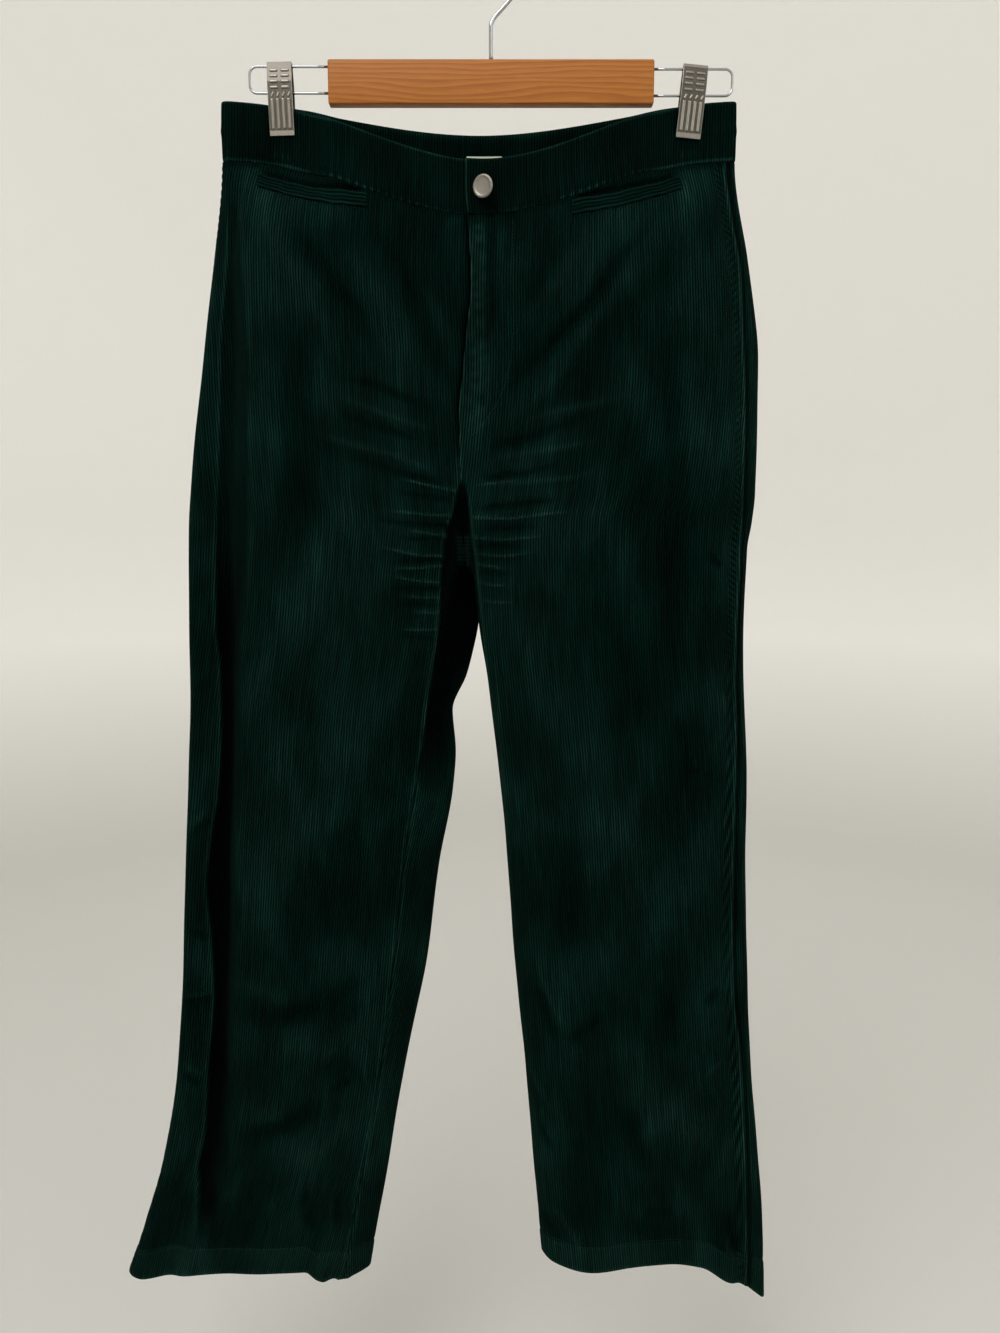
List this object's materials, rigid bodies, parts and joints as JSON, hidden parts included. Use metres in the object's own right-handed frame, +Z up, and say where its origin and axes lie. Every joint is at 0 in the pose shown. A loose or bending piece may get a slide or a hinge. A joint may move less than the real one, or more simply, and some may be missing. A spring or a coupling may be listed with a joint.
{
  "type": "corduroy trousers on a clip hanger",
  "caption": "Dark bottle-green wide-wale corduroy trousers with slanted welt pockets, hanging from a wooden clip hanger.",
  "frame": {"origin": "highest inner point of the hanger's hook, where a rail holds it", "axes": "+Z up along the hanging trousers, -Y towards the front with the fly, +X towards the wearer's left"},
  "size_m": [0.6285, 0.0714, 1.2314],
  "materials": {
    "corduroy": "matt",
    "zip_tape": "matt",
    "label": "matt",
    "button": "satin",
    "clips": "satin",
    "wire": "polished",
    "bar": "satin"
  },
  "bodies": {
    "root": {"front_right": "corduroy", "front_left": "corduroy", "back_right": "corduroy", "back_left": "corduroy", "pocket_welt_right": "corduroy", "pocket_welt_left": "corduroy", "waistband_front_right": "corduroy", "waistband_front_left": "corduroy", "waistband_back": "corduroy", "zip": "zip_tape", "label": "label", "button": "button", "hanger_bar": "bar", "hanger_hook": "wire", "hanger_wire_right": "wire", "hanger_wire_left": "wire", "clip_right": "clips", "clip_left": "clips"}
  },
  "joints": []
}
